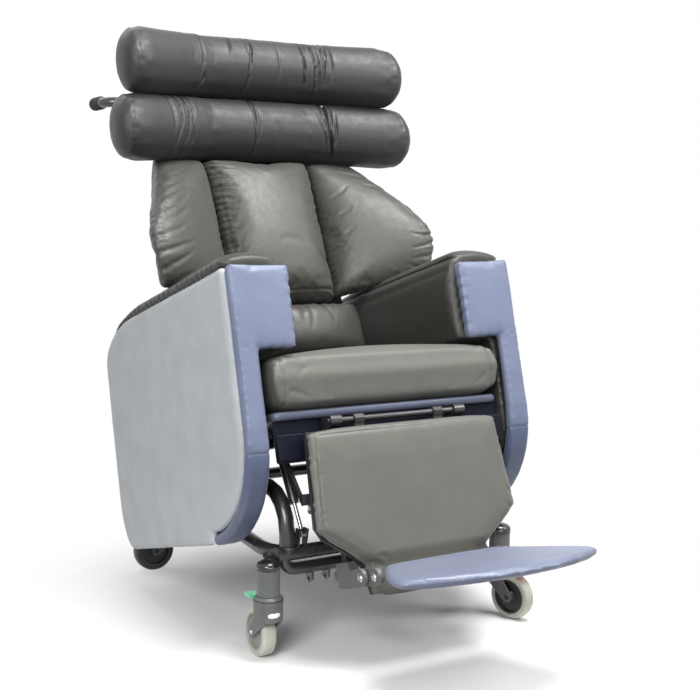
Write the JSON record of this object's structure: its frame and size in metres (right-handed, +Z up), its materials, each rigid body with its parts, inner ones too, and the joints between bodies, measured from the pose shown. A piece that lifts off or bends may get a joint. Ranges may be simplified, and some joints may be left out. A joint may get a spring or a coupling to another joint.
{
  "type": "tilt in space wheelchair",
  "caption": "Padded tilt in space care chair with waterfall back, head rolls, deep arms, lifting legrest and folding footplate, on a tube base with braked swivel castors.",
  "frame": {"origin": "floor level at the middle of the bounding box", "axes": "+Z up, the sitter faces -Y, the sitter's left is +X"},
  "size_m": [0.768, 1.3194, 1.3168],
  "materials": {
    "frame_paint": "gloss black powder coat",
    "black_plastic": "satin black",
    "castor_plastic": "satin dark grey",
    "grey_plastic": "satin mid grey",
    "grey_tyre": "matt pale grey",
    "green_plastic": "gloss green",
    "red_plastic": "gloss red",
    "charcoal_vinyl": "soft satin grain",
    "black_vinyl": "soft satin grain",
    "pale_blue_vinyl": "soft satin grain",
    "blue_vinyl": "soft satin grain",
    "zinc_steel": "bright zinc plate"
  },
  "bodies": {
    "base": {"front_cross_tube": "frame_paint", "rear_cross_tube": "frame_paint", "side_rail_left": "frame_paint", "side_rail_right": "frame_paint", "pivot_hoop_left": "frame_paint", "pivot_hoop_right": "frame_paint", "castor_sleeve_left": "grey_plastic", "castor_sleeve_right": "grey_plastic"},
    "castor_front_left": {"castor_hood_front_left": "castor_plastic"},
    "wheel_front_left": {"wheel_centre_front_left": "castor_plastic", "tyre_front_left": "grey_tyre"},
    "pedal_front_left": {"brake_pedal_front_left": "red_plastic"},
    "castor_front_right": {"castor_hood_front_right": "castor_plastic"},
    "wheel_front_right": {"wheel_centre_front_right": "castor_plastic", "tyre_front_right": "grey_tyre"},
    "pedal_front_right": {"brake_pedal_front_right": "green_plastic"},
    "castor_rear_left": {"castor_hood_rear_left": "castor_plastic"},
    "wheel_rear_left": {"wheel_centre_rear_left": "castor_plastic", "tyre_rear_left": "grey_tyre"},
    "pedal_rear_left": {"brake_pedal_rear_left": "black_plastic"},
    "castor_rear_right": {"castor_hood_rear_right": "castor_plastic"},
    "wheel_rear_right": {"wheel_centre_rear_right": "castor_plastic", "tyre_rear_right": "grey_tyre"},
    "pedal_rear_right": {"brake_pedal_rear_right": "black_plastic"},
    "seat_unit": {"seat_rail_left": "frame_paint", "seat_rail_right": "frame_paint", "legrest_axle": "zinc_steel", "back_axle": "zinc_steel", "seat_cross_tube": "frame_paint", "seat_board": "blue_vinyl", "seat_cushion": "charcoal_vinyl", "seat_apron": "blue_vinyl", "side_panel_left": "pale_blue_vinyl", "side_panel_right": "pale_blue_vinyl", "arm_front_left": "blue_vinyl", "arm_front_right": "blue_vinyl", "arm_pad_left": "black_vinyl", "arm_pad_right": "black_vinyl"},
    "back": {"back_shell": "black_plastic", "back_upright_left": "frame_paint", "back_upright_right": "frame_paint", "push_grip_left": "black_plastic", "push_grip_right": "black_plastic", "back_cushion_centre": "charcoal_vinyl", "wing_cushion_left": "charcoal_vinyl", "wing_cushion_right": "charcoal_vinyl", "lumbar_cushion": "charcoal_vinyl", "head_roll_lower": "charcoal_vinyl", "head_roll_upper": "charcoal_vinyl"},
    "legrest": {"legrest_pad": "charcoal_vinyl", "legrest_board": "black_plastic"},
    "footplate_carrier": {"footplate_carrier": "castor_plastic"},
    "footplate": {"footplate_bracket": "castor_plastic", "footplate_pad": "blue_vinyl"},
    "tilt_cylinder_left": {"tilt_strut_cylinder_left": "black_plastic"},
    "tilt_rod_left": {"tilt_strut_rod_left": "zinc_steel"},
    "tilt_cylinder_right": {"tilt_strut_cylinder_right": "black_plastic"},
    "tilt_rod_right": {"tilt_strut_rod_right": "zinc_steel"},
    "legrest_cylinder": {"legrest_strut_cylinder": "black_plastic"},
    "legrest_rod": {"legrest_strut_rod": "zinc_steel"}
  },
  "joints": [
    {"name": "tilt_in_space", "type": "hinge", "parent": "base", "child": "seat_unit", "pos_m": [0, 0.16062, 0.358], "axis": [-1, 0, 0], "range_deg": [-10, 15]},
    {"name": "back_recline", "type": "hinge", "parent": "seat_unit", "child": "back", "pos_m": [0, 0.26981, 0.3598], "axis": [-1, 0, 0], "range_deg": [0, 25]},
    {"name": "legrest_elevation", "type": "hinge", "parent": "seat_unit", "child": "legrest", "pos_m": [0, -0.21993, 0.4755], "axis": [-1, 0, 0], "range_deg": [-2, 70], "deforming": ["seat_apron"]},
    {"name": "footplate_height", "type": "slide", "parent": "legrest", "child": "footplate_carrier", "axis": [0, -0.3338, -0.9426], "range_m": [0, 0.025]},
    {"name": "footplate_flip", "type": "hinge", "parent": "footplate_carrier", "child": "footplate", "pos_m": [0, -0.38824, 0.20093], "axis": [-1, 0, 0], "range_deg": [0, 95]},
    {"name": "tilt_strut_swing_left", "type": "hinge", "parent": "seat_unit", "child": "tilt_cylinder_left", "pos_m": [0.211, -0.08362, 0.43173], "axis": [1, 0, 0], "range_deg": [-13, 19]},
    {"name": "tilt_strut_stroke_left", "type": "slide", "parent": "tilt_cylinder_left", "child": "tilt_rod_left", "axis": [0, -0.5373, -0.8434], "range_m": [-0.044, 0.0655]},
    {"name": "tilt_strut_swing_right", "type": "hinge", "parent": "seat_unit", "child": "tilt_cylinder_right", "pos_m": [-0.211, -0.08362, 0.43173], "axis": [1, 0, 0], "range_deg": [-13, 19]},
    {"name": "tilt_strut_stroke_right", "type": "slide", "parent": "tilt_cylinder_right", "child": "tilt_rod_right", "axis": [0, -0.5373, -0.8434], "range_m": [-0.044, 0.0655]},
    {"name": "legrest_strut_swing", "type": "hinge", "parent": "legrest", "child": "legrest_cylinder", "pos_m": [0, -0.22613, 0.3801], "axis": [1, 0, 0], "range_deg": [-2, 64]},
    {"name": "legrest_strut_stroke", "type": "slide", "parent": "legrest_cylinder", "child": "legrest_rod", "axis": [0, 0.99, -0.1411], "range_m": [-0.0031, 0.1056]},
    {"name": "castor_swivel_front_left", "type": "hinge", "parent": "base", "child": "castor_front_left", "pos_m": [0.287, -0.19938, 0.15], "axis": [0, 0, 1], "continuous": true},
    {"name": "castor_roll_front_left", "type": "hinge", "parent": "castor_front_left", "child": "wheel_front_left", "pos_m": [0.29684, -0.23608, 0.05], "axis": [-0.9659, -0.2588, 0], "continuous": true},
    {"name": "brake_pedal_front_left", "type": "hinge", "parent": "castor_front_left", "child": "pedal_front_left", "pos_m": [0.29632, -0.23415, 0.111], "axis": [-0.9659, -0.2588, 0], "range_deg": [-12, 0]},
    {"name": "castor_swivel_front_right", "type": "hinge", "parent": "base", "child": "castor_front_right", "pos_m": [-0.287, -0.19938, 0.15], "axis": [0, 0, 1], "continuous": true},
    {"name": "castor_roll_front_right", "type": "hinge", "parent": "castor_front_right", "child": "wheel_front_right", "pos_m": [-0.28567, -0.1614, 0.05], "axis": [0.9994, -0.0349, 0], "continuous": true},
    {"name": "brake_pedal_front_right", "type": "hinge", "parent": "castor_front_right", "child": "pedal_front_right", "pos_m": [-0.28574, -0.1634, 0.111], "axis": [0.9994, -0.0349, 0], "range_deg": [-12, 0]},
    {"name": "castor_swivel_rear_left", "type": "hinge", "parent": "base", "child": "castor_rear_left", "pos_m": [0.218, 0.50062, 0.15], "axis": [0, 0, 1], "continuous": true},
    {"name": "castor_roll_rear_left", "type": "hinge", "parent": "castor_rear_left", "child": "wheel_rear_left", "pos_m": [0.25585, 0.49731, 0.05], "axis": [-0.0872, -0.9962, 0], "continuous": true},
    {"name": "brake_pedal_rear_left", "type": "hinge", "parent": "castor_rear_left", "child": "pedal_rear_left", "pos_m": [0.25386, 0.49749, 0.111], "axis": [-0.0872, -0.9962, 0], "range_deg": [-12, 0]},
    {"name": "castor_swivel_rear_right", "type": "hinge", "parent": "base", "child": "castor_rear_right", "pos_m": [-0.218, 0.50062, 0.15], "axis": [0, 0, 1], "continuous": true},
    {"name": "castor_roll_rear_right", "type": "hinge", "parent": "castor_rear_right", "child": "wheel_rear_right", "pos_m": [-0.25598, 0.4993, 0.05], "axis": [-0.0349, 0.9994, 0], "continuous": true},
    {"name": "brake_pedal_rear_right", "type": "hinge", "parent": "castor_rear_right", "child": "pedal_rear_right", "pos_m": [-0.25398, 0.49937, 0.111], "axis": [-0.0349, 0.9994, 0], "range_deg": [-12, 0]}
  ],
  "couplings": [
    {"joint": "tilt_strut_swing_left", "follows": "tilt_in_space", "ratio": 1.238},
    {"joint": "tilt_strut_stroke_left", "follows": "tilt_in_space", "m_per_rad": 0.2481},
    {"joint": "tilt_strut_swing_right", "follows": "tilt_in_space", "ratio": 1.238},
    {"joint": "tilt_strut_stroke_right", "follows": "tilt_in_space", "m_per_rad": 0.2481},
    {"joint": "legrest_strut_swing", "follows": "legrest_elevation", "ratio": 0.912},
    {"joint": "legrest_strut_stroke", "follows": "legrest_elevation", "m_per_rad": 0.0863}
  ]
}
